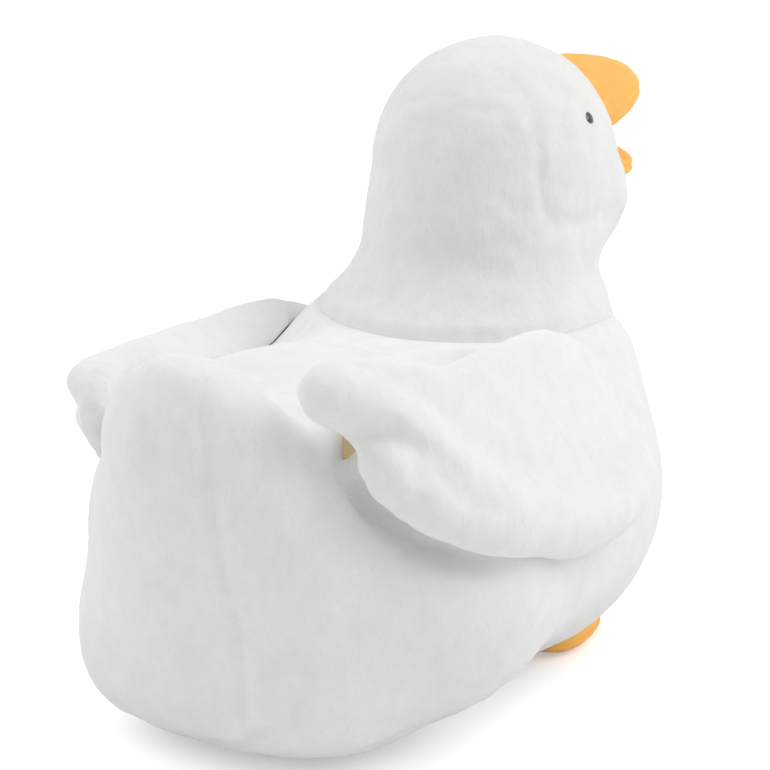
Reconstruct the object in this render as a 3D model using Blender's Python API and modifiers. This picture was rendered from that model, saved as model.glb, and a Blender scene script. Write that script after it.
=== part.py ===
"""A plush duck hand puppet that sits with its wings thrown back and its bill open.

The duck faces -Y, its left side is +X, and it stands on z = 0. Lengths are in metres.
A hand goes in through the hole in the base, up the sleeve and into the head.
"""

import math

import bmesh
import bpy
from mathutils import Matrix, Vector

# Between two pieces that are sewn or pressed together
seam_gap = 0.0004

# Where a wing lies loose on the body
drape_gap = 0.0008

# Puts the middle of the bounding box over the origin
set_forward = 0.0167

# Further than any piece reaches, for the cutters that take off a whole side
beyond = 0.3

# Body: seat, rump, breast and shoulders make one egg, and the tail stands up behind it.
# The stuffing of the seat and the tail has settled a little to the left
seat_x = 0.012
seat_width = 0.196
seat_length = 0.172
seat_height = 0.104
seat_y = 0.074
seat_z = 0.050
belly_width = 0.242
belly_length = 0.180
belly_height = 0.146
belly_y = -0.002
belly_z = 0.096
back_width = 0.206
back_length = 0.214
back_height = 0.096
back_y = 0.004
back_z = 0.120
fullness = 2.8
rump_width = 0.260
rump_length = 0.180
rump_height = 0.192
rump_y = 0.056
rump_z = 0.093
breast_width = 0.240
breast_length = 0.226
breast_height = 0.200
breast_y = -0.050
breast_z = 0.094
shoulder_width = 0.198
shoulder_length = 0.184
shoulder_height = 0.136
shoulder_y = -0.072
shoulder_z = 0.136
tail_x = 0.002
tail_width = 0.158
tail_thickness = 0.086
tail_length = 0.160
tail_y = 0.126
tail_z = 0.112
tip_x = 0.010
tip_width = 0.116
tip_thickness = 0.068
tip_length = 0.106
tip_y = 0.146
tip_z = 0.162
tail_lean = math.radians(-14)
body_voxel = 0.0115
body_ease = 8

# Head: skull, neck and cheeks. The neck flares out to a level seam, where it is sewn to the body
skull_width = 0.128
skull_length = 0.133
skull_height = 0.130
skull_y = -0.104
skull_z = 0.252
nape_width = 0.124
nape_length = 0.131
nape_height = 0.130
nape_y = -0.094
nape_z = 0.222
neck_width = 0.134
neck_length = 0.136
neck_height = 0.112
neck_y = -0.080
neck_z = 0.178
cheek_width = 0.062
cheek_length = 0.062
cheek_height = 0.062
cheek_x = 0.030
cheek_y = -0.136
cheek_z = 0.232
flare_width = 0.150
flare_length = 0.150
flare_height = 0.052
flare_y = -0.076
flare_z = 0.180
neck_seam_z = 0.182
neck_room = 0.003
head_voxel = 0.0085
head_ease = 8

# Bill: two padded halves, open, with a folded lining between them
upper_bill_width = 0.088
upper_bill_length = 0.098
upper_bill_height = 0.030
upper_bill_y = -0.164
upper_bill_z = 0.274
upper_bill_pitch = math.radians(-13.5)
lower_bill_width = 0.082
lower_bill_length = 0.084
lower_bill_height = 0.020
lower_bill_y = -0.167
lower_bill_z = 0.239
lower_bill_pitch = math.radians(6)
bill_fullness = 2.3
bill_facets = 28
mouth_width = 0.076
mouth_length = 0.062
mouth_height = 0.030
mouth_y = -0.148
mouth_z = 0.2545

# Eyes: beads pressed into the cloth
eye_radius = 0.0048
eye_facets = 16
eye_x = 0.0535
eye_y = -0.104
eye_z = 0.279

# Feet: flat pads under the breast, turned out a little
foot_width = 0.044
foot_length = 0.070
foot_height = 0.015
foot_x = 0.047
foot_y = -0.094
foot_turn = math.radians(12)
foot_fullness = 2.6
foot_facets = 20

# Wing: a stuffed mitten of two feathers, sewn to the shoulder
wing_thickness = 0.024
wing_voxel = 0.0075
wing_ease = 3
wing_lean = math.radians(66)
wing_length = 0.271
wing_rim = ((0.145, -0.049), (0.080, -0.048), (0.022, -0.030))
wing_path = (
    (0.080, -0.078, 0.150), (0.106, -0.036, 0.142), (0.110, 0.020, 0.144), (0.102, 0.072, 0.154),
)

# The feathers of the right wing lie apart. Its front is sewn up on the shoulder, and the rest of it
# stands off the body
right_root = (
    (0.000, 0.008), (0.030, 0.036), (0.062, 0.054), (0.095, 0.061), (0.130, 0.059), (0.165, 0.052),
    (0.200, 0.043),
)
right_feathers = (
    (0.235, 0.041), (0.268, 0.034), (0.271, 0.017), (0.246, 0.009), (0.214, 0.003),
    (0.234, -0.001), (0.242, -0.015), (0.225, -0.031), (0.190, -0.042),
)
right_tip_path = ((0.084, 0.112, 0.166), (0.054, 0.154, 0.178))
right_wing_shift = (0.005, 0.008, 0.003)

# The feathers of the left wing lie one over the other
left_root = ((0.000, 0.008), (0.030, 0.036), (0.075, 0.043), (0.130, 0.041), (0.185, 0.037))
left_feathers = (
    (0.234, 0.034), (0.259, 0.027), (0.267, 0.016), (0.260, 0.006), (0.245, 0.001),
    (0.224, -0.011), (0.204, -0.021), (0.178, -0.032),
)
left_tip_path = ((0.091, 0.114, 0.163), (0.070, 0.158, 0.170))
left_wing_shift = (0.005, -0.008, -0.005)

# Blank label: a folded ribbon sewn into the dip in front of the tail, on the right side
label_width = 0.0110
label_height = 0.0160
label_thickness = 0.0012
label_at = (-0.0530, 0.1080, 0.1650)
label_turn = math.radians(33)

# Hand sleeve: a cloth sock from the hole in the base to the back of the mouth
sleeve_thickness = 0.0016
sleeve_facets = 24
sleeve_path = (
    (0.030, 0.0076, 0.0400), (0.026, 0.040, 0.0395), (0.002, 0.085, 0.0380), (-0.040, 0.130, 0.0360),
    (-0.076, 0.172, 0.0340), (-0.096, 0.212, 0.0330), (-0.104, 0.240, 0.0300), (-0.108, 0.256, 0.0230),
    (-0.110, 0.264, 0.0120),
)
hem_height = 0.0070
hem_width = 0.0060
hem_corner = 0.00175
hem_facets = 32


def clear_scene():
    for item in list(bpy.data.objects):
        bpy.data.objects.remove(item, do_unlink=True)


def plain(name, colour, roughness):
    """A material of one colour."""
    material = bpy.data.materials.new(name)
    material.use_nodes = True
    shader = material.node_tree.nodes["Principled BSDF"]
    shader.inputs["Base Color"].default_value = (*colour, 1.0)
    shader.inputs["Roughness"].default_value = roughness
    return material


def place(form, name, collection, material):
    """A new object from this form, with one material."""
    mesh = bpy.data.meshes.new(name)
    bmesh.ops.translate(form, vec=(0, set_forward, 0), verts=form.verts)
    form.to_mesh(mesh)
    form.free()
    mesh.materials.append(material)
    item = bpy.data.objects.new(name, mesh)
    collection.objects.link(item)
    return item


def lump(form, centre, size, turn=None, fullness=2.0, facets=32):
    """Adds an ellipsoid of this size to a form. A fullness over 2 squares it up."""
    made = bmesh.ops.create_uvsphere(form, u_segments=facets, v_segments=facets * 5 // 8, radius=1.0)
    turn = turn or Matrix.Identity(4)
    for vertex in made["verts"]:
        x, y, z = vertex.co
        reach = (abs(x) ** fullness + abs(y) ** fullness + abs(z) ** fullness) ** (1 / fullness)
        co = Vector((x * size[0], y * size[1], z * size[2])) / (2 * reach)
        vertex.co = Vector(centre) + turn @ co


def knead(item, voxel, ease):
    """Runs overlapping lumps together into one skin, and eases the dips between them."""
    skin = item.modifiers.new("one_skin", "REMESH")
    skin.mode = "VOXEL"
    skin.voxel_size = voxel
    soften = item.modifiers.new("soften", "SMOOTH")
    soften.factor = 0.5
    soften.iterations = ease


def set_aside(cutter):
    """Keeps a cutter out of renders and shows it as wire."""
    cutter.hide_render = True
    cutter.display_type = "WIRE"
    return cutter


def as_cutter(item, name, cutters, swell=seam_gap):
    """A copy of a piece as it stands now, a seam gap larger, to cut other pieces with."""
    cutter = item.copy()
    cutter.name = name
    cutters.objects.link(cutter)
    swollen = cutter.modifiers.new("swell", "DISPLACE")
    swollen.strength = swell
    swollen.mid_level = 0.0
    return set_aside(cutter)


def box(name, low, high, cutters):
    form = bmesh.new()
    bmesh.ops.create_cube(form, size=1.0)
    low, high = Vector(low), Vector(high)
    bmesh.ops.scale(form, vec=high - low, verts=form.verts)
    bmesh.ops.translate(form, vec=(low + high) / 2, verts=form.verts)
    return set_aside(place(form, name, cutters, plain("cutter", (0.5, 0.5, 0.5), 0.5)))


def cut(item, cutter):
    cutting = item.modifiers.new(cutter.name, "BOOLEAN")
    cutting.operation = "DIFFERENCE"
    cutting.object = cutter


def along(points, share):
    """The point at this share, from 0 to 1, of a smooth curve through the points, and its heading."""
    points = [Vector(p) for p in points]
    points = [2 * points[0] - points[1], *points, 2 * points[-1] - points[-2]]
    spans = len(points) - 3
    span = min(int(max(share, 0.0) * spans), spans - 1)
    t = share * spans - span
    a, b, c, d = points[span : span + 4]
    bend, twist = 2 * a - 5 * b + 4 * c - d, 3 * b - a - 3 * c + d
    at = b + ((c - a) * t + bend * t**2 + twist * t**3) / 2
    return at, ((c - a) + 2 * bend * t + 3 * twist * t**2).normalized()


def make_body(collection, white):
    form = bmesh.new()
    lean = Matrix.Rotation(tail_lean, 4, "X")
    lump(form, (seat_x, seat_y, seat_z), (seat_width, seat_length, seat_height), fullness=fullness)
    lump(form, (0, belly_y, belly_z), (belly_width, belly_length, belly_height), fullness=fullness)
    lump(form, (0, rump_y, rump_z), (rump_width, rump_length, rump_height))
    lump(form, (0, breast_y, breast_z), (breast_width, breast_length, breast_height))
    lump(form, (0, shoulder_y, shoulder_z), (shoulder_width, shoulder_length, shoulder_height))
    lump(form, (0, back_y, back_z), (back_width, back_length, back_height), fullness=fullness)
    lump(form, (tail_x, tail_y, tail_z), (tail_width, tail_thickness, tail_length), lean)
    lump(form, (tip_x, tip_y, tip_z), (tip_width, tip_thickness, tip_length), lean)
    body = place(form, "body", collection, white)
    knead(body, body_voxel, body_ease)
    return body


def make_head(collection, white):
    form = bmesh.new()
    lump(form, (0, skull_y, skull_z), (skull_width, skull_length, skull_height))
    lump(form, (0, nape_y, nape_z), (nape_width, nape_length, nape_height))
    lump(form, (0, neck_y, neck_z), (neck_width, neck_length, neck_height))
    lump(form, (0, flare_y, flare_z), (flare_width, flare_length, flare_height))
    for side in (-1, 1):
        lump(form, (side * cheek_x, cheek_y, cheek_z), (cheek_width, cheek_length, cheek_height))
    head = place(form, "head", collection, white)
    knead(head, head_voxel, head_ease)
    return head


def make_bill(name, y, z, size, pitch, collection, orange):
    form = bmesh.new()
    lump(form, (0, y, z), size, Matrix.Rotation(pitch, 4, "X"), bill_fullness, bill_facets)
    return place(form, name, collection, orange)


def make_mouth(collection, felt):
    """The folded lining at the back of the mouth. The bills shape it above and below."""
    form = bmesh.new()
    lump(form, (0, mouth_y, mouth_z), (mouth_width, mouth_length, mouth_height), facets=bill_facets)
    return place(form, "mouth_lining", collection, felt)


def make_eye(name, side, collection, black):
    form = bmesh.new()
    centre = Matrix.Translation((side * eye_x, eye_y, eye_z))
    bmesh.ops.create_uvsphere(
        form, u_segments=eye_facets, v_segments=eye_facets * 5 // 8, radius=eye_radius, matrix=centre
    )
    return place(form, name, collection, black)


def make_foot(name, side, collection, orange):
    form = bmesh.new()
    turn = Matrix.Rotation(-side * foot_turn, 4, "Z")
    size = (foot_width, foot_length, foot_height)
    lump(form, (side * foot_x, foot_y, foot_height / 2), size, turn, foot_fullness, foot_facets)
    return place(form, name, collection, orange)


def make_label(collection, ribbon):
    form = bmesh.new()
    bmesh.ops.create_cube(form, size=1.0)
    bmesh.ops.scale(form, vec=(label_width, label_thickness, label_height), verts=form.verts)
    bmesh.ops.rotate(form, matrix=Matrix.Rotation(label_turn, 3, "Z"), verts=form.verts)
    bmesh.ops.translate(form, vec=label_at, verts=form.verts)
    return place(form, "side_label", collection, ribbon)


def wing_blank(name, outline):
    """A flat pillow with the wing's outline, its length along X and its chord along Y."""
    curve = bpy.data.curves.new(name, "CURVE")
    curve.dimensions = "2D"
    curve.fill_mode = "BOTH"
    curve.extrude = wing_thickness / 2
    spline = curve.splines.new("BEZIER")
    spline.bezier_points.add(len(outline) - 1)
    for knot, (x, y) in zip(spline.bezier_points, outline):
        knot.co = (x, y, 0)
        knot.handle_left_type = knot.handle_right_type = "AUTO"
    spline.use_cyclic_u = True
    spline.resolution_u = 4
    blank = bpy.data.objects.new(name, curve)
    bpy.context.scene.collection.objects.link(blank)
    knead(blank, wing_voxel, wing_ease)
    bpy.context.view_layer.update()
    graph = bpy.context.evaluated_depsgraph_get()
    mesh = bpy.data.meshes.new_from_object(blank.evaluated_get(graph))
    bpy.data.objects.remove(blank)
    return mesh


def make_wing(name, side, outline, tip_path, shift, collection, white):
    form = bmesh.new()
    form.from_mesh(wing_blank(name, (*outline, *wing_rim)))
    for vertex in form.verts:
        s, t, n = vertex.co
        at, heading = along((*wing_path, *tip_path), s / wing_length)
        chord = Vector((-math.cos(wing_lean), 0, math.sin(wing_lean)))
        chord = (chord - heading * chord.dot(heading)).normalized()
        out = heading.cross(chord).normalized()
        point = at + chord * t + out * n + Vector(shift)
        vertex.co = (side * point.x, point.y, point.z)
    bmesh.ops.recalc_face_normals(form, faces=form.faces)
    return place(form, name, collection, white)


def sock(form, inset):
    """A closed tube along the sleeve's path, this far inside its outer face."""
    rings = []
    for step, (y, z, radius) in enumerate(sleeve_path):
        before = sleeve_path[max(step - 1, 0)]
        after = sleeve_path[min(step + 1, len(sleeve_path) - 1)]
        heading = Vector((0, after[0] - before[0], after[1] - before[1])).normalized()
        if step == 0:
            heading = Vector((0, 0, 1))
        over = Vector((1, 0, 0)).cross(heading)
        centre = Vector((0, y, z))
        if step == len(sleeve_path) - 1:
            centre -= heading * inset
        ring = []
        for facet in range(sleeve_facets):
            turn = 2 * math.pi * facet / sleeve_facets
            spoke = Vector((1, 0, 0)) * math.cos(turn) + over * math.sin(turn)
            ring.append(form.verts.new(centre + spoke * (radius - inset)))
        rings.append(ring)
    return rings


def skin_rings(form, rings):
    for lower, upper in zip(rings, rings[1:]):
        for facet in range(sleeve_facets):
            turn = (facet + 1) % sleeve_facets
            form.faces.new((lower[facet], lower[turn], upper[turn], upper[facet]))
    form.faces.new(rings[-1])


def make_sleeve(collection, lining):
    form = bmesh.new()
    outer, inner = sock(form, 0.0), sock(form, sleeve_thickness)
    skin_rings(form, outer)
    skin_rings(form, inner)
    for facet in range(sleeve_facets):
        turn = (facet + 1) % sleeve_facets
        form.faces.new((outer[0][facet], outer[0][turn], inner[0][turn], inner[0][facet]))
    bmesh.ops.recalc_face_normals(form, faces=form.faces)
    return place(form, "hand_sleeve", collection, lining)


def make_tunnel(cutters):
    """What the sleeve takes out of the stuffing, down through the base."""
    form = bmesh.new()
    rings = sock(form, -seam_gap)
    below = [form.verts.new((v.co.x, v.co.y, -hem_height)) for v in rings[0]]
    skin_rings(form, [below, *rings])
    form.faces.new(below)
    bmesh.ops.recalc_face_normals(form, faces=form.faces)
    return set_aside(place(form, "tunnel", cutters, plain("cutter", (0.5, 0.5, 0.5), 0.5)))


def make_hem(collection, lining, cutters):
    """The band round the hole, and the wider hole that it sits in."""
    y, _, radius = sleeve_path[0]
    form = bmesh.new()
    low, high = 0.0, hem_height
    inner, outer = radius - sleeve_thickness, radius + hem_width
    profile = (
        (inner + hem_corner, low), (outer - hem_corner, low),
        (outer, low + hem_corner), (outer, high - hem_corner),
        (outer - hem_corner, high), (inner + hem_corner, high),
        (inner, high - hem_corner), (inner, low + hem_corner),
    )
    rings = []
    for facet in range(hem_facets):
        turn = 2 * math.pi * facet / hem_facets
        rings.append([
            form.verts.new((r * math.cos(turn), y + r * math.sin(turn), z)) for r, z in profile
        ])
    for ring, after in zip(rings, rings[1:] + rings[:1]):
        for edge in range(len(profile)):
            step = (edge + 1) % len(profile)
            form.faces.new((ring[edge], ring[step], after[step], after[edge]))
    bmesh.ops.recalc_face_normals(form, faces=form.faces)
    hem = place(form, "opening_hem", collection, lining)
    form = bmesh.new()
    bmesh.ops.create_cone(
        form, cap_ends=True, segments=hem_facets, radius1=outer + seam_gap * 2, radius2=outer + seam_gap * 2,
        depth=2 * (high + seam_gap), matrix=Matrix.Translation((0, y, 0)),
    )
    return hem, set_aside(place(form, "hem_seat", cutters, plain("cutter", (0.5, 0.5, 0.5), 0.5)))


def main():
    clear_scene()
    collection = bpy.data.collections.new("duck_puppet")
    cutters = bpy.data.collections.new("cutters")
    for made in (collection, cutters):
        bpy.context.scene.collection.children.link(made)
    white = plain("white_plush", (0.87, 0.87, 0.86), 0.9)
    orange = plain("orange_plush", (0.95, 0.50, 0.14), 0.9)
    lining = plain("lining", (0.80, 0.80, 0.78), 0.9)
    felt = plain("mouth_felt", (0.70, 0.22, 0.08), 0.95)
    gold = plain("ribbon", (0.60, 0.44, 0.16), 0.6)
    black = plain("bead", (0.02, 0.02, 0.02), 0.2)

    body = make_body(collection, white)
    head = make_head(collection, white)
    body_block = as_cutter(body, "body_block", cutters, drape_gap)
    head_block = as_cutter(head, "head_block", cutters)

    upper = make_bill(
        "upper_bill", upper_bill_y, upper_bill_z,
        (upper_bill_width, upper_bill_length, upper_bill_height), upper_bill_pitch, collection, orange,
    )
    lower = make_bill(
        "lower_bill", lower_bill_y, lower_bill_z,
        (lower_bill_width, lower_bill_length, lower_bill_height), lower_bill_pitch, collection, orange,
    )
    mouth = make_mouth(collection, felt)
    for bill in (upper, lower):
        cut(mouth, as_cutter(bill, bill.name + "_block", cutters))
        cut(bill, head_block)
    cut(mouth, head_block)

    collar_y, collar_z = flare_y + flare_length / 2 + neck_room, neck_seam_z - seam_gap
    floor = box("floor", (-beyond, -beyond, -beyond), (beyond, beyond, 0), cutters)
    above = box("above_seam", (-beyond, -beyond, collar_z), (beyond, collar_y, beyond), cutters)
    below = box("below_seam", (-beyond, -beyond, -beyond), (beyond, beyond, neck_seam_z), cutters)
    tunnel = make_tunnel(cutters)
    hem, hem_seat = make_hem(collection, lining, cutters)
    make_sleeve(collection, lining)
    for cutter in (floor, above, tunnel, hem_seat):
        cut(body, cutter)
    for cutter in (below, tunnel):
        cut(head, cutter)

    label = make_label(collection, gold)
    cut(body, as_cutter(label, "label_seat", cutters))

    for name, side, outline, tip_path, shift in (
        ("right", -1, (*right_root, *right_feathers), right_tip_path, right_wing_shift),
        ("left", 1, (*left_root, *left_feathers), left_tip_path, left_wing_shift),
    ):
        wing = make_wing(name + "_wing", side, outline, tip_path, shift, collection, white)
        cut(wing, body_block)
        foot = make_foot(name + "_foot", side, collection, orange)
        cut(body, as_cutter(foot, name + "_foot_seat", cutters))
        eye = make_eye(name + "_eye", side, collection, black)
        cut(head, as_cutter(eye, name + "_eye_seat", cutters))


main()
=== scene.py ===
"""A white plush duck hand puppet on a pale floor, seen from behind and from its right.

The duck faces -Y and its left side is +X. Lengths are in metres.
"""
import math

import bmesh
import bpy
import numpy as np
from mathutils import Matrix, Vector, noise
from mathutils.bvhtree import BVHTree


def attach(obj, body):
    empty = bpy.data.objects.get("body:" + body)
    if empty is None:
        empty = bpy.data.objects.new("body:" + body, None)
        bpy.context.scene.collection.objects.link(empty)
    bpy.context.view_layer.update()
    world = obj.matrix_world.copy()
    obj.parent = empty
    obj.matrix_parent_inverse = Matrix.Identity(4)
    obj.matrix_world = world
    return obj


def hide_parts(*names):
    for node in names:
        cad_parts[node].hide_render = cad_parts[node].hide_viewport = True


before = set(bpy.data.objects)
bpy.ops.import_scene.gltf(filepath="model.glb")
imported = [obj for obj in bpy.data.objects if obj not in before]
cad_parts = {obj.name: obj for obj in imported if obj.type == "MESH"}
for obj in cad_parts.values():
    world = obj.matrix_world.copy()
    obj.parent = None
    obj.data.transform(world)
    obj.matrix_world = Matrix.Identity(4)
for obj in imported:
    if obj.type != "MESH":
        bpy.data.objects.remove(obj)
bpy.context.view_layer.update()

scene = bpy.context.scene

# Hand sleeve
# A sock of plain woven cloth runs from the hole in the base to the back of the mouth, for the wearer's
# hand. It is sewn into a folded hem round the hole, and the stuffing lies round it.

forward = 0.0167
sleeve_rings = (
    # y, z, radius
    (0.030, 0.0030, 0.0392), (0.030, 0.0200, 0.0392), (0.026, 0.040, 0.0386), (0.014, 0.063, 0.0378),
    (0.002, 0.085, 0.0370), (-0.019, 0.108, 0.0360), (-0.040, 0.130, 0.0350), (-0.058, 0.151, 0.0340),
    (-0.076, 0.172, 0.0330), (-0.087, 0.192, 0.0324), (-0.096, 0.212, 0.0320), (-0.104, 0.240, 0.0290),
    (-0.108, 0.256, 0.0222), (-0.110, 0.2625, 0.0110),
)
cloth_thickness = 0.0010
crease_depth = 0.0010


class Level:
    """A number or a vector that varies over a surface. Arithmetic on it adds Math nodes."""

    def __init__(self, tree, socket):
        self.tree = tree
        self.socket = socket

    def joined(self, operation, *values, clamp=False):
        node = self.tree.nodes.new("ShaderNodeMath")
        node.operation = operation
        node.use_clamp = clamp
        for slot, value in zip(node.inputs, values):
            if isinstance(value, Level):
                self.tree.links.new(value.socket, slot)
            else:
                slot.default_value = value
        return Level(self.tree, node.outputs[0])

    def __add__(self, other):
        return self.joined("ADD", self, other)

    def __sub__(self, other):
        return self.joined("SUBTRACT", self, other)

    def __rsub__(self, other):
        return self.joined("SUBTRACT", other, self)

    def __mul__(self, other):
        return self.joined("MULTIPLY", self, other)

    __radd__ = __add__
    __rmul__ = __mul__

    def kept(self):
        """The same number, held between 0 and 1."""
        return self.joined("ADD", self, 0.0, clamp=True)


class Finish:
    """A material in the making: one Principled shader and the nodes that feed it."""

    def __init__(self, name, **sockets):
        self.material = bpy.data.materials.new(name)
        self.material.use_nodes = True
        self.tree = self.material.node_tree
        self.shader = self.tree.nodes["Principled BSDF"]
        self.feed(self.shader, sockets)

    def feed(self, node, sockets):
        for name, value in sockets.items():
            if isinstance(value, Level):
                self.tree.links.new(value.socket, node.inputs[name])
            else:
                node.inputs[name].default_value = value

    def node(self, kind, settings, sockets, output=0):
        """One node of this kind. Its settings are set first, then its sockets."""
        node = self.tree.nodes.new("ShaderNode" + kind)
        for name, value in settings.items():
            setattr(node, name, value)
        self.feed(node, sockets)
        return Level(self.tree, node.outputs[output])

    def place(self, stretch=(1, 1, 1), turn=(0, 0, 0)):
        """Object coordinates, stretched and turned."""
        where = self.node("TexCoord", {}, {}, "Object")
        return self.node("Mapping", {}, {"Vector": where, "Scale": stretch, "Rotation": turn})

    def cloud(self, where, scale, detail=2.0, roughness=0.5):
        sockets = {"Vector": where, "Scale": scale, "Detail": detail, "Roughness": roughness}
        return self.node("TexNoise", {}, sockets)

    def blend(self, share, first, second):
        """A colour between two colours."""
        return self.node("Mix", {"data_type": "RGBA"}, {0: share, 6: first, 7: second}, 2)

    def relief(self, height, depth, strength=1.0):
        """Bumps of this depth, in metres, on the shader's surface."""
        bump = self.node("Bump", {}, {"Height": height, "Distance": depth, "Strength": strength})
        self.feed(self.shader, {"Normal": bump})


def piece(form, name):
    mesh = bpy.data.meshes.new(name)
    form.to_mesh(mesh)
    form.free()
    item = bpy.data.objects.new(name, mesh)
    scene.collection.objects.link(item)
    return item


def finished(item, material, *nodes, slot):
    """Gives a piece its cloth, and puts it in the place of its CAD nodes."""
    item.data.materials.clear()
    item.data.materials.append(material)
    item.data.shade_smooth()
    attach(item, "root")
    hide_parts(*nodes)
    return item


def sock(form, spare, facets, creases=0.0):
    """A tube along the sleeve, this much wider than it, closed at its top end."""
    ring = bmesh.ops.create_circle(form, segments=facets, radius=1.0)["verts"]
    edges = form.edges[:]
    turns = [math.atan2(v.co.y, v.co.x) for v in ring]
    for step, (y, z, radius) in enumerate(sleeve_rings):
        if step:
            made = bmesh.ops.extrude_edge_only(form, edges=edges)["geom"]
            ring = [v for v in made if isinstance(v, bmesh.types.BMVert)]
            edges = [e for e in made if isinstance(e, bmesh.types.BMEdge) and set(e.verts) <= set(ring)]
        before, after = sleeve_rings[max(step - 1, 0)], sleeve_rings[min(step + 1, len(sleeve_rings) - 1)]
        heading = Vector((0, after[0] - before[0], after[1] - before[1])).normalized()
        over = Vector((1, 0, 0)).cross(heading)
        centre = Vector((0, y + forward, z)) + heading * (spare if step == len(sleeve_rings) - 1 else 0)
        for vertex, turn in zip(ring, turns):
            fold = creases * math.sin(5 * turn + 9 * step) * math.sin(2.3 * step)
            spoke = Vector((math.cos(turn), 0, 0)) + over * math.sin(turn)
            vertex.co = centre + spoke * (radius + spare - abs(fold))
    bmesh.ops.edgeloop_fill(form, edges=edges)
    return form


form = sock(bmesh.new(), 0.0, 64, crease_depth)
bmesh.ops.recalc_face_normals(form, faces=form.faces)
bmesh.ops.solidify(form, geom=form.faces[:], thickness=cloth_thickness)
bmesh.ops.recalc_face_normals(form, faces=form.faces)
weave = Finish("lining_cloth", **{"Roughness": 0.9, "Specular IOR Level": 0.2})
yarn = {"Vector": weave.place(), "Scale": 520.0, "Distortion": 1.0}
warp = weave.node("TexWave", {"bands_direction": "X"}, yarn)
weft = weave.node("TexWave", {"bands_direction": "Z"}, yarn)
threads = warp * 0.5 + weft * 0.5
weave.feed(weave.shader, {"Base Color": weave.blend(threads, (0.70, 0.70, 0.68, 1), (0.82, 0.82, 0.80, 1))})
weave.relief(threads, 0.0003, 0.6)
sleeve = finished(piece(form, "sleeve_cloth"), weave.material, "hand_sleeve", slot="lining")

hem_y, hem_radius = 0.030, 0.0430
hem_middle = 0.0035
hem_half_width, hem_half_height = 0.0029, 0.0032
hem_stitches = 60
form = bmesh.new()
start = bmesh.ops.create_circle(form, segments=16, radius=1.0)["verts"]
for vertex in start:
    across, up = vertex.co.x * hem_half_width, vertex.co.y * hem_half_height
    vertex.co = Vector((hem_radius + across, 0, hem_middle + up))
bmesh.ops.spin(
    form, geom=form.verts[:] + form.edges[:], cent=(0, 0, 0), axis=(0, 0, 1), angle=2 * math.pi,
    steps=120, use_merge=True,
)
for vertex in form.verts:
    turn = math.atan2(vertex.co.y, vertex.co.x)
    tight = 1 - 0.05 * max(0.0, math.cos(hem_stitches * turn)) ** 3
    vertex.co.z = hem_middle + (vertex.co.z - hem_middle) * tight
bmesh.ops.translate(form, vec=(0, hem_y + forward, 0), verts=form.verts)
bmesh.ops.recalc_face_normals(form, faces=form.faces)
finished(piece(form, "hem_band"), weave.material, "opening_hem", slot="lining")

# Body
# One bag of white plush, stuffed firm: breast, back and rump in one, with the tail standing up behind.
# A seam runs down the middle of the rump, and the cloth puckers along it and creases near the base.

body_lumps = (
    # centre, (width, length, height), lean, fullness
    ((0.012, 0.074, 0.050), (0.196, 0.172, 0.104), 0.0, 2.8),
    ((0.000, -0.002, 0.096), (0.242, 0.180, 0.146), 0.0, 2.8),
    ((0.000, 0.056, 0.093), (0.260, 0.180, 0.192), 0.0, 2.0),
    ((0.000, -0.050, 0.094), (0.240, 0.226, 0.200), 0.0, 2.0),
    ((0.000, -0.072, 0.136), (0.198, 0.184, 0.136), 0.0, 2.0),
    ((0.000, 0.004, 0.120), (0.206, 0.214, 0.096), 0.0, 2.8),
    ((0.002, 0.126, 0.112), (0.158, 0.086, 0.160), math.radians(-14), 2.0),
    ((0.007, 0.146, 0.161), (0.108, 0.068, 0.105), math.radians(-14), 2.0),
)
neck_seam_z = 0.182
neck_y, neck_reach = forward - 0.076, 0.082
neck_rise, neck_slope = 0.0060, 0.012
seam_gap = 0.0004
sewn_in = 0.0030
tuck_depth, tuck_width = 0.0150, 0.0080
body_voxel = 0.0115


def lump(form, centre, size, lean=0.0, fullness=2.0, facets=32):
    """Adds an ellipsoid of this size. It leans about the X axis, and a fullness over 2 squares it up."""
    made = bmesh.ops.create_uvsphere(form, u_segments=facets, v_segments=facets * 5 // 8, radius=1.0)
    turn = Matrix.Rotation(lean, 3, "X")
    middle = Vector(centre) + Vector((0, forward, 0))
    for vertex in made["verts"]:
        x, y, z = vertex.co
        reach = (abs(x) ** fullness + abs(y) ** fullness + abs(z) ** fullness) ** (1 / fullness)
        vertex.co = middle + turn @ (Vector((x * size[0], y * size[1], z * size[2])) / (2 * reach))


def settle(item):
    """Applies the modifiers of a piece."""
    bpy.context.view_layer.update()
    graph = bpy.context.evaluated_depsgraph_get()
    mesh = bpy.data.meshes.new_from_object(item.evaluated_get(graph))
    old = item.data
    item.modifiers.clear()
    item.data = mesh
    bpy.data.meshes.remove(old)
    return item


def finer(item):
    """One subdivision."""
    fine = item.modifiers.new("fine", "SUBSURF")
    fine.levels = fine.render_levels = 1
    return settle(item)


def stuffed(form, name, voxel, ease):
    """Runs overlapping lumps together into one smooth skin."""
    item = piece(form, name)
    skin = item.modifiers.new("skin", "REMESH")
    skin.mode = "VOXEL"
    skin.voxel_size = voxel
    soften = item.modifiers.new("soften", "SMOOTH")
    soften.factor = 0.5
    soften.iterations = ease
    return finer(item)


def points_of(item):
    """The vertices and their normals, as arrays."""
    count = len(item.data.vertices)
    points, normals = np.empty(count * 3), np.empty(count * 3)
    item.data.vertices.foreach_get("co", points)
    item.data.vertices.foreach_get("normal", normals)
    return points.reshape(-1, 3), normals.reshape(-1, 3)


def move_points(item, points):
    item.data.vertices.foreach_set("co", points.ravel())
    item.data.update()


def shape_of(item):
    """A tree that finds the nearest point on a piece."""
    form = bmesh.new()
    form.from_mesh(item.data)
    tree = BVHTree.FromBMesh(form)
    form.free()
    return tree


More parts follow.
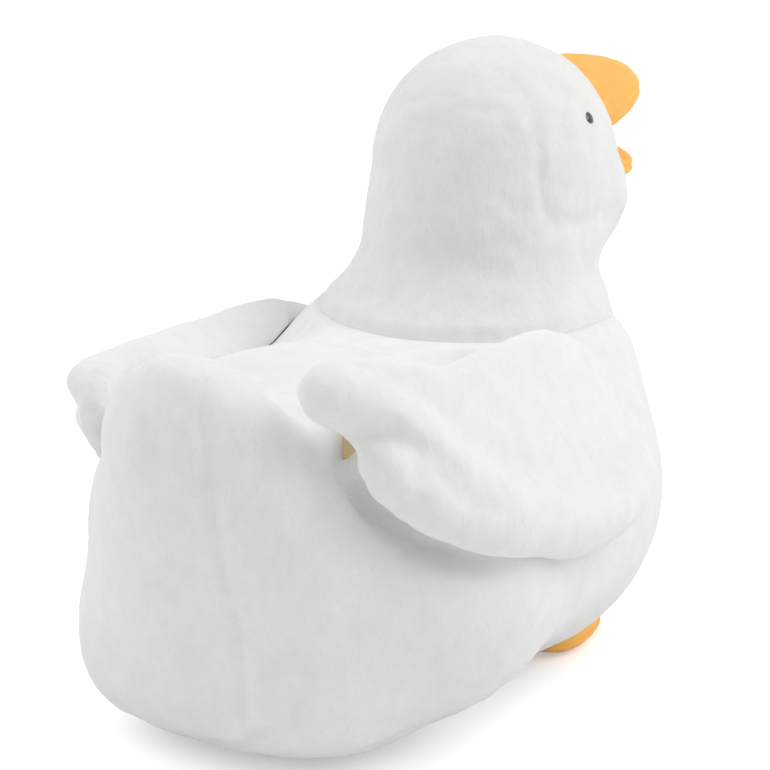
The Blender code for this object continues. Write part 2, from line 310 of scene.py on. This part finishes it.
def on_skin(shape, knots, steps=8):
    """The line through these knots, laid down on a piece's skin."""
    line = []
    for start, end in zip(knots, knots[1:]):
        for step in range(steps):
            line.append(shape.find_nearest(Vector(start).lerp(Vector(end), step / steps))[0])
    line.append(shape.find_nearest(Vector(knots[-1]))[0])
    return np.array(line)


def near_line(points, line):
    """How far each point is from a line, and its share of the way along it."""
    closest, share = np.full(len(points), 1e9), np.zeros(len(points))
    for step, (start, end) in enumerate(zip(line, line[1:])):
        run = end - start
        along = np.clip((points - start) @ run / (run @ run + 1e-12), 0, 1)
        away = np.linalg.norm(points - start - along[:, None] * run, axis=1)
        nearer = away < closest
        closest[nearer] = away[nearer]
        share[nearer] = (step + along[nearer]) / (len(line) - 1)
    return closest, share


def ease_between(value, low, high):
    """0 below low, 1 above high, and smooth between."""
    share = np.clip((value - low) / (high - low), 0, 1)
    return share * share * (3 - 2 * share)


def drift(points, size, seed):
    """Smooth noise of about this size, from -1 to 1."""
    shift = Vector((seed * 7.3, seed * 3.1, seed * 5.7))
    return np.array([noise.noise(Vector(point) / size + shift) for point in points])


def fill_out(item, held, cap, pressure=4.0, frames=20):
    """Blows the cloth up from inside. Held points stay, and the whole gets no larger."""
    before, normals = points_of(item)
    group = item.vertex_groups.new(name="held")
    group.add([int(index) for index in np.flatnonzero(held)], 1.0, "REPLACE")
    cloth = item.modifiers.new("cloth", "CLOTH")
    cloth.settings.quality = 5
    cloth.settings.use_pressure = True
    cloth.settings.uniform_pressure_force = pressure
    cloth.settings.shrink_min = -0.04
    cloth.settings.vertex_group_mass = "held"
    cloth.settings.effector_weights.gravity = 0.0
    cloth.point_cache.frame_start = 1
    cloth.point_cache.frame_end = frames
    for step in range(1, frames + 1):
        scene.frame_set(step)
    settle(item)
    scene.frame_set(1)
    item.vertex_groups.clear()
    after, _ = points_of(item)
    moved = after - before
    moved -= normals * np.mean(np.sum(moved * normals, axis=1))
    reach = np.linalg.norm(moved, axis=1, keepdims=True)
    move_points(item, before + moved * (cap * np.tanh(reach / cap) / np.maximum(reach, 1e-9)))


def seam(points, line, depth, width, pucker=0.0):
    """How far a sewn line pulls the cloth in. The cloth swells a little on both sides of it."""
    away, share = near_line(points, line)
    ends = ease_between(share, 0.0, 0.12) * (1 - ease_between(share, 0.88, 1.0))
    pull = -depth * np.exp(-((away / width) ** 2))
    pull += 0.3 * depth * np.exp(-(((away - 2.2 * width) / width) ** 2))
    near = away < 6 * width
    if pucker:
        fade = np.exp(-((away[near] / (2.5 * width)) ** 2))
        pull[near] += pucker * drift(points[near], 0.008, 4) * fade
    return pull * ends


def pile(item, seed, tuft=0.0002, swell=0.0005):
    """The uneven surface that the pile and the stuffing under it give."""
    points, normals = points_of(item)
    lift = tuft * drift(points * (1.0, 1.0, 0.7), 0.0055, seed)
    lift += swell * drift(points, 0.024, seed + 1) + 0.6 * swell * drift(points, 0.011, seed + 2)
    move_points(item, points + normals * lift[:, None])


def drilled(item, *tools):
    """Takes the sleeve's room out of a stuffed piece."""
    for tool in tools:
        cut = item.modifiers.new("room", "BOOLEAN")
        cut.operation = "DIFFERENCE"
        cut.object = tool
    settle(item)


def plush_finish(name, tip, root, sheen):
    """Short pile plush: soft patches, combed streaks and single fibres."""
    plush = Finish(name, **{
        "Roughness": 1.0, "Specular IOR Level": 0.1, "Sheen Weight": sheen,
        "Sheen Roughness": 0.5, "Sheen Tint": tip,
        "Subsurface Weight": 0.25, "Subsurface Scale": 0.006, "Subsurface Radius": (1.0, 1.0, 1.0),
    })
    patches = plush.cloud(plush.place(stretch=(1.0, 1.0, 0.7)), 95.0, 3.0, 0.55)
    streaks = plush.cloud(plush.place(stretch=(1.0, 1.0, 0.35), turn=(0.2, 0.1, 0.0)), 430.0, 2.0, 0.6)
    fibres = plush.cloud(plush.place(stretch=(1.0, 1.0, 0.5)), 1700.0, 1.0, 0.6)
    marks = ((streaks - 0.60) * 6.0).kept() * ((patches - 0.46) * 5.0).kept()
    height = patches * 0.45 + streaks * 0.35 + fibres * 0.20 + marks * 0.25
    shade = ((patches - 0.5) * 1.0 + (fibres - 0.5) * 0.6 + 0.64 - marks * 0.40).kept()
    plush.feed(plush.shader, {"Base Color": plush.blend(shade, root, tip)})
    plush.relief(height, 0.0013, 0.5)
    return plush.material


white_plush = plush_finish("white_plush", (0.880, 0.880, 0.872, 1.0), (0.770, 0.772, 0.755, 1.0), 0.30)

form = bmesh.new()
for centre, size, lean, fullness in body_lumps:
    lump(form, centre, size, lean, fullness)
body = stuffed(form, "body_plush", body_voxel, 8)
bare = shape_of(body)
rump_seam = on_skin(bare, (
    (-0.012, 0.176, 0.214), (-0.0146, 0.1895, 0.186), (-0.0179, 0.1913, 0.173), (-0.0191, 0.1915, 0.145),
    (-0.0214, 0.1851, 0.109), (-0.0227, 0.1782, 0.089), (-0.0229, 0.1676, 0.058), (-0.018, 0.150, 0.016),
))
base_crease = on_skin(bare, ((0.004, 0.160, 0.020), (-0.0101, 0.1553, 0.0242), (-0.0355, 0.1617, 0.0388)))
flank_crease = on_skin(bare, ((-0.062, 0.138, 0.016), (-0.084, 0.100, 0.024), (-0.092, 0.060, 0.030)))
# The right wing presses into the flank along its lower edge
wing_tuck = on_skin(bare, (
    (-0.036, 0.118, 0.172), (-0.0488, 0.1255, 0.166), (-0.0608, 0.1354, 0.1566), (-0.075, 0.136, 0.142),
    (-0.0900, 0.1275, 0.1265), (-0.1000, 0.121, 0.121), (-0.1085, 0.1125, 0.117), (-0.1170, 0.101, 0.113),
    (-0.1240, 0.080, 0.107),
))
points, normals = points_of(body)
seam_side, _ = near_line(points, rump_seam)
under_head = (points[:, 2] > neck_seam_z - 0.004) & (points[:, 1] < 0.02)
held = (seam_side < 0.006) | (points[:, 2] < 0.006) | under_head
fill_out(body, held, 0.0010)
finer(body)

points, normals = points_of(body)
away, share = near_line(points, wing_tuck)
deep = ease_between(share, 0.0, 0.16) * (1 - ease_between(share, 0.55, 1.0))
points -= normals * (tuck_depth * deep * np.exp(-((away / tuck_width) ** 2)))[:, None]
move_points(body, points)
points, normals = points_of(body)
lift = seam(points, rump_seam, 0.0013, 0.0028, 0.0008)
lift += seam(points, base_crease, 0.0022, 0.0030, 0.0006)
lift += seam(points, flank_crease, 0.0016, 0.0034, 0.0005)
points += normals * lift[:, None]
move_points(body, points)
pile(body, 1)
points, _ = points_of(body)
points[:, 2] = np.maximum(points[:, 2], 0.0)
from_neck = np.maximum(np.hypot(points[:, 0], points[:, 1] - neck_y) - neck_reach, 0.0)
collar = neck_rise * np.exp(-((from_neck / neck_slope) ** 2))
points[:, 2] += collar * ease_between(points[:, 2], 0.140, 0.160)
in_neck = ((points[:, 1] < forward + 0.006) | (from_neck < 0.03)) & (points[:, 2] > neck_seam_z - seam_gap)
points[in_neck, 2] = neck_seam_z - seam_gap
move_points(body, points)
body_shape = shape_of(body)

form = sock(bmesh.new(), 0.0012, 40)
rim = [e for e in form.edges if e.is_boundary]
down = bmesh.ops.extrude_edge_only(form, edges=rim)["geom"]
for vertex in [v for v in down if isinstance(v, bmesh.types.BMVert)]:
    vertex.co.z = -0.02
bmesh.ops.edgeloop_fill(form, edges=[e for e in form.edges if e.is_boundary])
bmesh.ops.recalc_face_normals(form, faces=form.faces)
sleeve_room = piece(form, "sleeve_room")
form = bmesh.new()
bmesh.ops.create_cone(
    form, cap_ends=True, segments=64, radius1=0.0466, radius2=0.0466, depth=0.0148,
    matrix=Matrix.Translation((0, hem_y + forward, 0)),
)
hem_room = piece(form, "hem_room")
drilled(body, sleeve_room, hem_room)
finished(body, white_plush, "body", slot="white_plush")

# Label
# A blank loop of gold satin ribbon, folded double and sewn into the dip between back and tail, on the
# right side.

label_at = (-0.0492, 0.1021 + forward, 0.1628)
label_width, label_height = 0.0105, 0.0158
label_fold = 0.0005
label_turn = math.radians(33)
ribbon_thickness = 0.00025
form = bmesh.new()
bmesh.ops.create_grid(form, x_segments=10, y_segments=24, size=0.5)
for vertex in form.verts:
    across, up = vertex.co.x, vertex.co.y + 0.5
    round_fold = math.pi * min(max((up - 0.42) / 0.16, 0.0), 1.0)
    rise = min(up, 0.5) * 2 if up < 0.5 else (1 - up) * 2
    width = label_width * (1 - 0.35 * max(0.0, 2 * rise - 1) ** 4)
    vertex.co = Vector((across * width, label_fold * math.cos(round_fold), (rise - 0.5) * label_height))
bmesh.ops.rotate(form, matrix=Matrix.Rotation(label_turn, 3, "Z"), verts=form.verts)
bmesh.ops.translate(form, vec=label_at, verts=form.verts)
bmesh.ops.recalc_face_normals(form, faces=form.faces)
bmesh.ops.solidify(form, geom=form.faces[:], thickness=ribbon_thickness)
bmesh.ops.recalc_face_normals(form, faces=form.faces)
ribbon = Finish("label_ribbon", **{"Roughness": 0.5, "Base Color": (0.80, 0.60, 0.30, 1)})
ribs = ribbon.node("TexWave", {"bands_direction": "Z"}, {"Vector": ribbon.place(), "Scale": 900.0})
ribbon.relief(ribs, 0.0002, 0.5)
finished(piece(form, "ribbon_loop"), ribbon.material, "side_label", slot="ribbon")

# Head and neck
# A second bag of plush, sewn to the body round the neck. The face is a panel of its own: its seam runs
# down each side behind the eye, and the cheeks bulge below the eyes.

head_lumps = (
    ((0, -0.104, 0.252), (0.128, 0.133, 0.130)),
    ((0, -0.094, 0.222), (0.124, 0.131, 0.130)),
    ((0, -0.080, 0.178), (0.134, 0.136, 0.112)),
    ((0, -0.076, 0.180), (0.150, 0.150, 0.052)),
    ((-0.030, -0.136, 0.232), (0.062, 0.062, 0.062)),
    ((0.030, -0.136, 0.232), (0.062, 0.062, 0.062)),
)


def keep_off(item, shape, gap):
    """Moves the points of a piece that lie in another piece out to this gap from its skin. A gap below 0
    lets them sink in that far. It is one number, or one for each point."""
    points, _ = points_of(item)
    gaps = np.broadcast_to(gap, len(points))
    for index, point in enumerate(points):
        near, normal, _, distance = shape.find_nearest(Vector(point), 0.06)
        if near is None:
            continue
        off_skin = math.copysign(distance, (Vector(point) - near).dot(normal))
        if off_skin < gaps[index]:
            points[index] = near + normal * gaps[index]
    move_points(item, points)


head_voxel = 0.0085
neck_flare, flare_height = 0.0085, 0.0080
drape_height = 0.006
# The head's plush is the same white cloth as the body's, made a little darker all over: painted shade
# standing in for the dimmer light on the head.
head_plush_painted_shade = plush_finish("head_plush_painted_shade", (0.845, 0.846, 0.835, 1.0), (0.725, 0.727, 0.710, 1.0), 0.24)
form = bmesh.new()
for centre, size in head_lumps:
    lump(form, centre, size)
head = stuffed(form, "head_plush_painted_shade", head_voxel, 8)
bare = shape_of(head)
points, normals = points_of(head)
face_seams, chin_seams = [], []
for side in (1, -1):
    face_seams.append(on_skin(bare, [(side * x, y, z) for x, y, z in (
        (-0.030, -0.058, 0.306), (-0.0454, -0.0526, 0.2786), (-0.0486, -0.0485, 0.2625),
        (-0.0513, -0.0484, 0.2444), (-0.0562, -0.0514, 0.2316),
    )]))
    chin_seams.append(on_skin(bare, [(side * x, y, z) for x, y, z in (
        (-0.0553, -0.0498, 0.2322), (-0.0598, -0.0695, 0.2300), (-0.0590, -0.0950, 0.2290),
        (-0.0540, -0.1160, 0.2260),
    )]))
held = points[:, 2] < neck_seam_z + 0.004
for line in (*face_seams, *chin_seams):
    held |= near_line(points, line)[0] < 0.004
fill_out(head, held, 0.0005)
finer(head)

points, normals = points_of(head)
lift = np.zeros(len(points))
for line in face_seams:
    lift += seam(points, line, 0.0006, 0.0030, 0.0005)
for line in chin_seams:
    lift += seam(points, line, 0.0010, 0.0045, 0.0005)
points += normals * lift[:, None]
height = np.maximum(points[:, 2] - neck_seam_z, 0.0)
level = normals * (1, 1, 0)
points += level * (neck_flare * np.exp(-height / flare_height))[:, None]
move_points(head, points)
pile(head, 3)
form = bmesh.new()
form.from_mesh(head.data)
cut = bmesh.ops.bisect_plane(
    form, geom=form.verts[:] + form.edges[:] + form.faces[:], dist=0.0001,
    plane_co=(0, 0, neck_seam_z + 0.0004), plane_no=(0, 0, 1), clear_inner=True,
)
rim = [e for e in cut["geom_cut"] if isinstance(e, bmesh.types.BMEdge)]
bmesh.ops.holes_fill(form, edges=rim, sides=0)
bmesh.ops.recalc_face_normals(form, faces=form.faces)
form.to_mesh(head.data)
form.free()
points, normals = points_of(head)
for index in np.flatnonzero((points[:, 2] < neck_seam_z + drape_height) & (normals[:, 2] > -0.9)):
    x, y, z = points[index]
    floor = body_shape.ray_cast(Vector((x, y, z + 0.02)), Vector((0, 0, -1)))[0]
    if floor is not None and floor.z < z:
        low = 1 - (z - neck_seam_z) / drape_height
        points[index, 2] -= (z - floor.z + sewn_in) * min(max(low, 0.0), 1.0)
in_seam = points[:, 2] < neck_seam_z + drape_height
move_points(head, points)
keep_off(head, body_shape, np.where(in_seam, -sewn_in, 0.0001))
head_shape = shape_of(head)
drilled(head, sleeve_room)
finished(head, head_plush_painted_shade, "head", slot="white_plush")
for face in head.data.polygons:
    if face.normal.z < -0.9 and face.center.z < neck_seam_z + 0.004:
        face.use_smooth = False

# Bill
# Two padded halves of orange plush, each sewn from a top and an underside, so that a seam runs
# round its rim. They stand open, and a felt lining joins them at the back of the mouth.

orange_plush = plush_finish("orange_plush", (0.985, 0.560, 0.175, 1.0), (0.930, 0.420, 0.085, 1.0), 0.02)


def bill_half(node, y, z, size, pitch):
    """One half of the bill. Its back end is sewn into the head."""
    form = bmesh.new()
    lump(form, (0, y, z), size, pitch, 2.3, 72)
    half = piece(form, node + "_plush")
    points, normals = points_of(half)
    turn = np.array(Matrix.Rotation(pitch, 3, "X"))
    flat = (points - (0, y + forward, z)) @ turn
    rim = np.exp(-((flat[:, 2] / 0.0014) ** 2))
    lift = -0.0009 * rim + 0.0003 * drift(points, 0.004, 8) + 0.0004 * drift(points, 0.012, 9)
    move_points(half, points + normals * lift[:, None])
    keep_off(half, head_shape, -sewn_in)
    finished(half, orange_plush, node, slot="orange_plush")


bill_half("upper_bill", -0.164, 0.274, (0.088, 0.098, 0.030), math.radians(-13.5))
bill_half("lower_bill", -0.167, 0.241, (0.082, 0.084, 0.024), math.radians(6))

form = bmesh.new()
lump(form, (0, -0.148, 0.2545), (0.076, 0.062, 0.030), facets=48)
mouth = piece(form, "mouth_felt")
felt = Finish("mouth_felt", **{"Roughness": 0.95, "Sheen Weight": 0.2})
fluff = felt.cloud(felt.place(), 900.0, 3.0, 0.6)
felt.feed(felt.shader, {"Base Color": felt.blend(fluff, (0.62, 0.17, 0.05, 1), (0.78, 0.28, 0.10, 1))})
felt.relief(fluff, 0.0006, 0.5)
finished(mouth, felt.material, "mouth_lining", slot="mouth_felt")

# Eyes
# Small black beads, flat like lentils, pressed into the plush at the sides of the head.

bead_radius, bead_half_thickness, bead_sunk = 0.0042, 0.0018, 0.0012
eye_x, eye_y, eye_z = 0.0528, forward - 0.104, 0.279
bead = Finish("eye_bead", **{"Base Color": (0.012, 0.011, 0.010, 1), "Roughness": 0.08, "Coat Weight": 0.6})
for side, word in ((-1, "right"), (1, "left")):
    form = bmesh.new()
    bmesh.ops.create_uvsphere(form, u_segments=32, v_segments=20, radius=1.0)
    bmesh.ops.scale(form, vec=(bead_half_thickness, bead_radius, bead_radius), verts=form.verts)
    near, normal, _, _ = head_shape.find_nearest(Vector((side * eye_x, eye_y, eye_z)))
    bmesh.ops.rotate(form, matrix=normal.to_track_quat("X", "Z").to_matrix(), verts=form.verts)
    bmesh.ops.translate(form, vec=near - normal * bead_sunk, verts=form.verts)
    finished(piece(form, word + "_bead"), bead.material, word + "_eye", slot="bead")

# Wings
# Each wing is a mitten of two feathers, sewn from two sheets of plush round a thin layer of stuffing.
# The stuffing gathers along the feathers, so they are fat rolls and the middle is a shallow hollow.

wing_rim = ((0.145, -0.045), (0.080, -0.046), (0.022, -0.030))
wing_path = (
    (0.080, -0.078, 0.150), (0.106, -0.036, 0.142), (0.110, 0.020, 0.144), (0.102, 0.072, 0.154),
)
wing_lean = math.radians(66)
wing_length = 0.271
wing_voxel = 0.0066
# height, radius
upper_roll_size = (0.0160, 0.0160)
lower_roll_size = (0.0140, 0.0170)
feather_gap_depth, feather_gap_width = 0.0085, 0.0042
back_fullness = 0.0160
wing_gap = 0.0008

# The feathers of the right wing lie apart, and its front is sewn up on the shoulder. Those of the left
# wing lie one over the other
wing_outline = {
    "right": (
        (0.000, 0.008), (0.030, 0.036), (0.062, 0.054), (0.095, 0.061), (0.130, 0.059), (0.165, 0.052),
        (0.200, 0.043), (0.235, 0.041), (0.268, 0.034), (0.271, 0.018), (0.257, 0.0075), (0.241, 0.0040),
        (0.241, -0.004), (0.237, -0.014), (0.222, -0.027), (0.190, -0.0380),
    ),
    "left": (
        (0.000, 0.008), (0.030, 0.038), (0.075, 0.047), (0.130, 0.043), (0.185, 0.037),
        (0.234, 0.032), (0.257, 0.024), (0.265, 0.012), (0.260, 0.001), (0.247, -0.007),
        (0.228, -0.014), (0.206, -0.021), (0.178, -0.032),
    ),
}
tip_path = {
    "right": ((0.084, 0.112, 0.166), (0.054, 0.154, 0.178)),
    "left": ((0.091, 0.114, 0.162), (0.070, 0.158, 0.167)),
}
wing_shift = {"right": (0.005, 0.008, 0.003), "left": (0.005, -0.008, -0.005)}
upper_roll = {
    "right": (
        (0.256, 0.023, 0), (0.240, 0.020, 0), (0.226, 0.014, 0), (0.205, 0.002, 0), (0.185, -0.007, 0),
        (0.167, -0.015, 0), (0.150, -0.020, 0), (0.130, -0.024, 0), (0.092, -0.027, 0), (0.060, -0.022, 0),
    ),
    "left": (
        (0.248, 0.016, 0), (0.222, 0.014, 0), (0.203, 0.004, 0), (0.180, -0.006, 0),
        (0.157, -0.016, 0), (0.135, -0.023, 0), (0.092, -0.028, 0), (0.060, -0.022, 0),
    ),
}
lower_roll = {
    "right": (
        (0.229, -0.008, 0), (0.208, -0.016, 0), (0.180, -0.025, 0), (0.145, -0.031, 0),
        (0.092, -0.033, 0), (0.040, -0.024, 0),
    ),
    "left": (
        (0.205, -0.010, 0), (0.175, -0.022, 0), (0.145, -0.033, 0), (0.092, -0.033, 0), (0.040, -0.024, 0),
    ),
}
feather_gap = {
    "right": (
        (0.246, 0.0045, 0), (0.240, 0.0070, 0), (0.230, 0.0080, 0), (0.2225, 0.0045, 0), (0.208, -0.002, 0),
        (0.193, -0.010, 0),
    ),
    "left": ((0.252, 0.002, 0), (0.232, 0.000, 0), (0.212, -0.003, 0), (0.192, -0.011, 0)),
}


def along(points, share):
    """The point at this share of a smooth curve through the points, and its heading."""
    points = [Vector(p) for p in points]
    points = [2 * points[0] - points[1], *points, 2 * points[-1] - points[-2]]
    spans = len(points) - 3
    span = min(int(max(share, 0.0) * spans), spans - 1)
    t = share * spans - span
    a, b, c, d = points[span : span + 4]
    bend, twist = 2 * a - 5 * b + 4 * c - d, 3 * b - a - 3 * c + d
    at = b + ((c - a) * t + bend * t**2 + twist * t**3) / 2
    return at, ((c - a) + 2 * bend * t + 3 * twist * t**2).normalized()


def wing_curve(outline, filled):
    curve = bpy.data.curves.new("wing_curve", "CURVE")
    curve.dimensions = "2D"
    curve.fill_mode = "BOTH" if filled else "NONE"
    curve.extrude = 0.010 if filled else 0.0
    spline = curve.splines.new("BEZIER")
    spline.bezier_points.add(len(outline) - 1)
    for knot, (x, y) in zip(spline.bezier_points, outline):
        knot.co = (x, y, 0)
        knot.handle_left_type = knot.handle_right_type = "AUTO"
    spline.use_cyclic_u = True
    spline.resolution_u = 8
    item = bpy.data.objects.new("wing_curve", curve)
    scene.collection.objects.link(item)
    bpy.context.view_layer.update()
    mesh = bpy.data.meshes.new_from_object(item.evaluated_get(bpy.context.evaluated_depsgraph_get()))
    bpy.data.objects.remove(item)
    return mesh


def roll(flat, line, height, radius):
    """A round roll of stuffing along a line."""
    away, _ = near_line(flat, np.array(line))
    return height * np.sqrt(np.maximum(1 - (away / radius) ** 2, 0.0))


def wing_pillow(word):
    """One wing laid flat, with its outer side up."""
    outline = (*wing_outline[word], *wing_rim)
    edge = np.array([v.co for v in wing_curve(outline, False).vertices])
    edge = np.vstack([edge, edge[:1]])
    form = bmesh.new()
    form.from_mesh(wing_curve(outline, True))
    wing = stuffed(form, word + "_wing_plush", wing_voxel, 1)
    points, _ = points_of(wing)
    flat = points * (1, 1, 0)
    inward, _ = near_line(flat, edge)
    s, t, n = points.T
    fat = np.maximum(ease_between(-t, -0.026, 0.012), ease_between(s, 0.170, 0.220))
    if word == "left":
        fat = np.maximum(fat, ease_between(t, 0.005, 0.025))
    radius = 0.0060 + 0.0065 * fat
    rim = np.clip(inward / radius, 0, 1)
    rim = np.sqrt(1 - (1 - rim) ** 2)
    sheet = 0.0042 + 0.0028 * fat
    upper = roll(flat, upper_roll[word], *upper_roll_size)
    lower = roll(flat, lower_roll[word], *lower_roll_size)
    outer = (sheet**6 + upper**6 + lower**6) ** (1 / 6)
    away, share = near_line(flat, np.array(feather_gap[word]))
    fading = feather_gap_depth * (1 - ease_between(share, 0.3, 1.0))
    outer -= fading * np.exp(-((away / feather_gap_width) ** 2))
    inner = 0.0045 + 0.0060 * fat
    if word == "left":
        against_back = ease_between(t, -0.012, 0.008) * (1 - ease_between(s, 0.170, 0.220))
        inner += back_fullness * against_back * ease_between(s, 0.020, 0.060)
    points[:, 2] = np.where(n > 0, outer, -inner) * np.clip(np.abs(n) / 0.005, 0, 1) * rim
    move_points(wing, points)
    soft = wing.modifiers.new("soft", "SMOOTH")
    soft.factor = 0.5
    soft.iterations = 3
    settle(wing)
    held = (outer < 0.0075) | (away < 0.004)
    fill_out(wing, held, 0.0006)
    return finer(wing)


for side, word in ((-1, "right"), (1, "left")):
    wing = wing_pillow(word)
    points, _ = points_of(wing)
    off_body = wing_gap + np.clip(points[:, 2], 0.0, 0.0045)
    for index, (s, t, n) in enumerate(points):
        at, heading = along((*wing_path, *tip_path[word]), s / wing_length)
        chord = Vector((-math.cos(wing_lean), 0, math.sin(wing_lean)))
        chord = (chord - heading * chord.dot(heading)).normalized()
        out = heading.cross(chord).normalized()
        spot = at + chord * t + out * n + Vector(wing_shift[word])
        points[index] = (side * spot.x, spot.y + forward, spot.z)
    move_points(wing, points)
    form = bmesh.new()
    form.from_mesh(wing.data)
    bmesh.ops.recalc_face_normals(form, faces=form.faces)
    form.to_mesh(wing.data)
    form.free()
    keep_off(wing, body_shape, off_body)
    pile(wing, 5 + side, 0.0002, 0.0004)
    finished(wing, white_plush, word + "_wing", slot="white_plush")

# Feet
# Flat pads of orange plush, sewn under the breast and turned out a little.

foot_size = (0.044, 0.070, 0.015)
foot_turn = math.radians(12)
foot_x, foot_y = 0.047, -0.094
for side, word in ((-1, "right"), (1, "left")):
    form = bmesh.new()
    lump(form, (0, -forward, foot_size[2] / 2), foot_size, 0.0, 2.6, 56)
    bmesh.ops.rotate(form, matrix=Matrix.Rotation(-side * foot_turn, 3, "Z"), verts=form.verts)
    bmesh.ops.translate(form, vec=(side * foot_x, foot_y + forward, 0), verts=form.verts)
    foot = piece(form, word + "_foot_plush")
    keep_off(foot, body_shape, seam_gap)
    points, normals = points_of(foot)
    rim = np.exp(-(((points[:, 2] - foot_size[2] / 2) / 0.0012) ** 2))
    points += normals * (0.0004 * drift(points, 0.006, 11) - 0.0007 * rim)[:, None]
    points[:, 2] = np.maximum(points[:, 2], 0.0)
    move_points(foot, points)
    finished(foot, orange_plush, word + "_foot", slot="orange_plush")

for tool in (sleeve_room, hem_room):
    bpy.data.objects.remove(tool)

# Floor, light and camera
# A white floor that keeps the shadow, soft studio light, and the photograph's view.

floor_size = 6.0
floor_glow = 0.36
ambient = 0.66
form = bmesh.new()
bmesh.ops.create_grid(form, x_segments=1, y_segments=1, size=floor_size)
floor = piece(form, "floor")
paper = Finish("floor_paper", **{"Base Color": (0.90, 0.90, 0.90, 1), "Roughness": 0.9})
rays = paper.tree.nodes.new("ShaderNodeLightPath")
seen = Level(paper.tree, rays.outputs["Is Camera Ray"])
for ray in ("Is Glossy Ray", "Is Transmission Ray"):
    seen = seen.joined("MAXIMUM", seen, Level(paper.tree, rays.outputs[ray]))
paper.feed(paper.shader, {"Emission Color": (1, 1, 1, 1), "Emission Strength": seen * floor_glow})
floor.data.materials.append(paper.material)

world = bpy.data.worlds.new("studio")
scene.world = world
world.use_nodes = True
sky = world.node_tree.nodes["Background"]
rays = world.node_tree.nodes.new("ShaderNodeLightPath")
seen = Level(world.node_tree, rays.outputs["Is Camera Ray"])
for ray in ("Is Glossy Ray", "Is Transmission Ray"):
    seen = seen.joined("MAXIMUM", seen, Level(world.node_tree, rays.outputs[ray]))
around = ambient + seen * (1 - ambient)
sky.inputs["Color"].default_value = (1, 1, 1, 1)
world.node_tree.links.new(around.socket, sky.inputs["Strength"])


def lamp(name, azimuth, elevation, distance, size, power):
    """A square soft box that faces the duck. The azimuth is seen from above, 0 towards -Y."""
    light = bpy.data.lights.new(name, "AREA")
    light.size = size
    light.energy = power
    item = bpy.data.objects.new(name, light)
    scene.collection.objects.link(item)
    a, e = math.radians(azimuth), math.radians(elevation)
    back = Vector((math.sin(a) * math.cos(e), -math.cos(a) * math.cos(e), math.sin(e)))
    item.location = Vector((0, 0, 0.12)) + back * distance
    item.rotation_euler = back.to_track_quat("Z", "Y").to_euler()


# azimuth, elevation, distance, size, power
lamp("right_box", 293, 43, 1.6, 1.0, 9.0)
lamp("left_box", 110, 38, 1.7, 1.2, 7.2)
lamp("top_box", 215, 84, 1.5, 1.0, 0.8)

camera_turn = math.radians(180 + 33)
camera_rise = math.radians(17)
camera_distance = 1.4
camera_aim = Vector((0, forward, 0.1564))
sensor_width = 36
pixels_wide, focal_pixels = 770, 2800
back = Vector((
    math.sin(camera_turn) * math.cos(camera_rise), -math.cos(camera_turn) * math.cos(camera_rise),
    math.sin(camera_rise),
))
camera = bpy.data.objects.new("camera", bpy.data.cameras.new("camera"))
scene.collection.objects.link(camera)
camera.data.sensor_width = sensor_width
camera.data.lens = sensor_width * focal_pixels / pixels_wide
camera.location = camera_aim + back * camera_distance
camera.rotation_euler = back.to_track_quat("Z", "Y").to_euler()
camera.data.clip_end = 50
scene.camera = camera
scene.view_settings.view_transform = "Standard"
